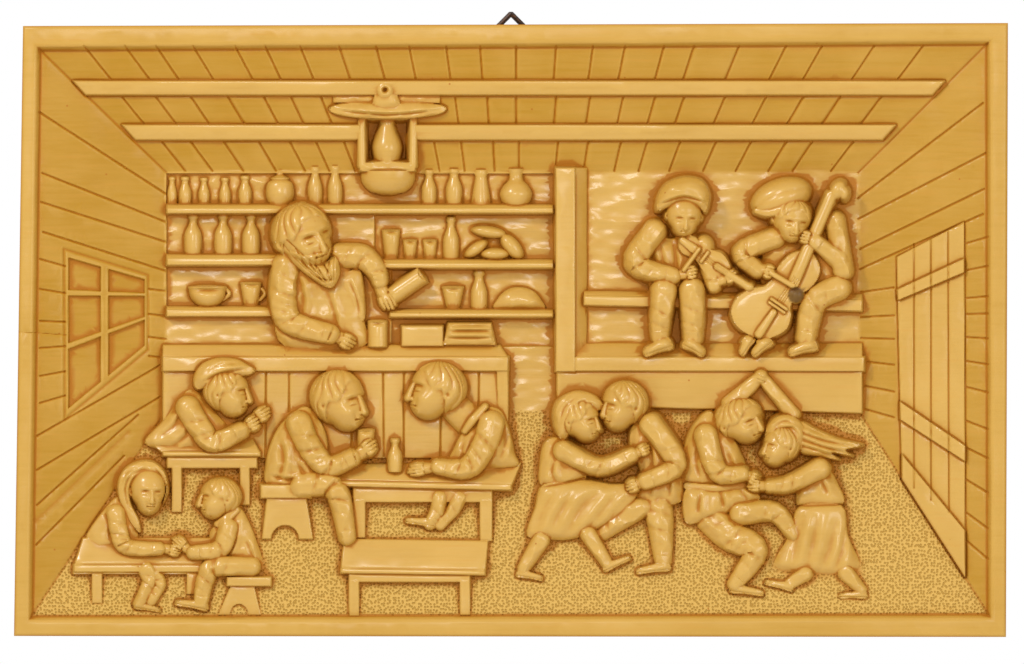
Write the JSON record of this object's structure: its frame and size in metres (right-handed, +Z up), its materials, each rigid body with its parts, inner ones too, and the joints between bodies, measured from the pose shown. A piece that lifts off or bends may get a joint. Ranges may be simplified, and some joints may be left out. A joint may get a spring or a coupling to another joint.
{
  "type": "relief plaque",
  "caption": "Carved wooden wall plaque: a tavern room in relief inside a flat rim, with figures, furniture and shelves, and a wire loop on the back to hang it by",
  "frame": {"origin": "inner top of the hanging loop, where the wall's nail carries it", "axes": "+X right along the plaque, +Z up, the carved front faces -Y and the wall is towards +Y"},
  "size_m": [0.497, 0.0388, 0.3127],
  "materials": {
    "limewood": "honey varnish, brown in the cuts",
    "dark_steel": "dark, worn"
  },
  "bodies": {
    "root": {"plaque": "limewood", "hanger_ring": "dark_steel", "hanger_strap": "dark_steel", "hanger_nail": "dark_steel"}
  },
  "joints": []
}
